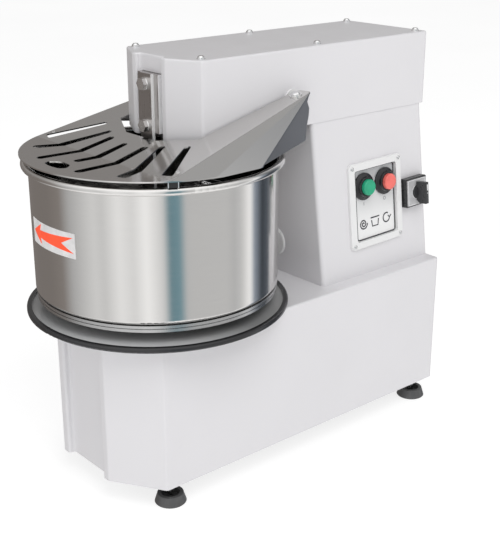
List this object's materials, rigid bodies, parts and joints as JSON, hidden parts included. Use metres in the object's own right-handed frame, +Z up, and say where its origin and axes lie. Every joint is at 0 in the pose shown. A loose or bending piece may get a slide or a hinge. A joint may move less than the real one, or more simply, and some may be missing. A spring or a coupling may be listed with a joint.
{
  "type": "spiral dough mixer",
  "caption": "Bench-top spiral dough mixer with a fixed head, a turning steel bowl with breaker bar, a slotted hinged lid and side controls.",
  "frame": {"origin": "centre of the machine's footprint on the bench, at the underside of the feet", "axes": "+Z up; -Y towards the bowl at the machine's front, +Y towards its back; +X towards the side that carries the controls"},
  "size_m": [0.3912, 0.6976, 0.6416],
  "materials": {
    "white_paint": "gloss",
    "lid_steel": "satin",
    "bowl_steel": "polished",
    "bar_steel": "satin",
    "bright_steel": "satin",
    "frame_steel": "satin",
    "cast_housing": "matte",
    "motor_alloy": "matte",
    "bearing_steel": "polished",
    "chain_steel": "satin",
    "black_ring": "gloss",
    "black_plastic": "satin",
    "rubber": "matte",
    "green_cap": "gloss",
    "red_cap": "gloss",
    "white_plastic": "gloss",
    "label_film": "gloss",
    "label_metal": "satin"
  },
  "bodies": {
    "stand": {"base_casing": "white_paint", "chassis_plate": "frame_steel", "bowl_support_bridge": "frame_steel", "column_casing": "white_paint", "frame_posts": "frame_steel", "head_casing": "white_paint", "head_plate": "frame_steel", "head_cover_posts": "bright_steel", "head_cover_screws": "bright_steel", "bar_mount": "bar_steel", "breaker_bar": "bar_steel", "breaker_bar_bolts": "bright_steel", "breaker_bar_washers": "bright_steel", "spiral_bearing_housing": "cast_housing", "spiral_bearings": "bearing_steel", "spiral_chain": "chain_steel", "bowl_chain": "chain_steel", "drive_shaft_bearings": "bearing_steel", "gearbox_housing": "cast_housing", "motor": "motor_alloy", "bowl_bearing_housing": "cast_housing", "bowl_bearings": "bearing_steel", "drip_ring": "black_ring", "hinge_bushings": "white_plastic", "lid_microswitch": "black_plastic", "control_bezel": "white_plastic", "label_plate": "label_metal", "bezel_screws": "bright_steel", "button_collars": "black_plastic", "contact_blocks": "black_plastic", "rotary_switch_base": "black_plastic", "rotary_switch_face": "label_metal", "rear_cover": "white_paint", "rear_cover_screws": "bright_steel", "column_plug": "white_plastic", "cable_gland": "black_plastic", "foot_pads": "rubber", "foot_studs": "bright_steel", "foot_nuts": "bright_steel"},
    "lid": {"lid_cover": "lid_steel", "lid_hinge_arms": "lid_steel", "lid_hinge_shaft": "bright_steel", "lid_screws": "bright_steel", "lid_bumpers": "rubber", "lid_bumper_clips": "bright_steel"},
    "bowl": {"bowl": "bowl_steel", "bowl_turntable": "bright_steel", "bowl_shaft": "bright_steel", "bowl_sprocket": "chain_steel", "bowl_arrow_label": "label_film"},
    "spiral": {"spiral_shaft": "bright_steel", "spiral_hook": "bright_steel", "spiral_sprocket": "chain_steel"},
    "drive": {"drive_shaft": "bright_steel", "drive_sprocket_upper": "chain_steel", "drive_sprocket_lower": "chain_steel"},
    "start_button": {"start_cap": "green_cap"},
    "stop_button": {"stop_cap": "red_cap"},
    "rotary_knob": {"rotary_switch_knob": "black_plastic"}
  },
  "joints": [
    {"name": "lid_hinge", "type": "hinge", "parent": "stand", "child": "lid", "pos_m": [0, 0.0328, 0.5635], "axis": [-1, 0, 0], "range_deg": [0, 65]},
    {"name": "bowl_spin", "type": "hinge", "parent": "stand", "child": "bowl", "pos_m": [0, -0.1532, 0.29], "axis": [0, 0, 1], "continuous": true},
    {"name": "spiral_spin", "type": "hinge", "parent": "stand", "child": "spiral", "pos_m": [0, -0.0652, 0.53], "axis": [0, 0, 1], "continuous": true},
    {"name": "drive_spin", "type": "hinge", "parent": "stand", "child": "drive", "pos_m": [0, 0.1468, 0.3], "axis": [0, 0, 1], "continuous": true},
    {"name": "start_press", "type": "slide", "parent": "stand", "child": "start_button", "axis": [-0.9959, 0, -0.091], "range_m": [0, 0.004], "stiffness_N_per_m": 400, "springref_m": -0.003},
    {"name": "stop_press", "type": "slide", "parent": "stand", "child": "stop_button", "axis": [-0.9959, 0, -0.091], "range_m": [0, 0.004], "stiffness_N_per_m": 400, "springref_m": -0.003},
    {"name": "switch_turn", "type": "hinge", "parent": "stand", "child": "rotary_knob", "pos_m": [0.10155, 0.2968, 0.378], "axis": [0.9959, 0, 0.091], "range_deg": [0, 60]}
  ],
  "couplings": [
    {"joint": "spiral_spin", "follows": "bowl_spin", "ratio": 5.2727},
    {"joint": "drive_spin", "follows": "bowl_spin", "ratio": 5.2727}
  ]
}
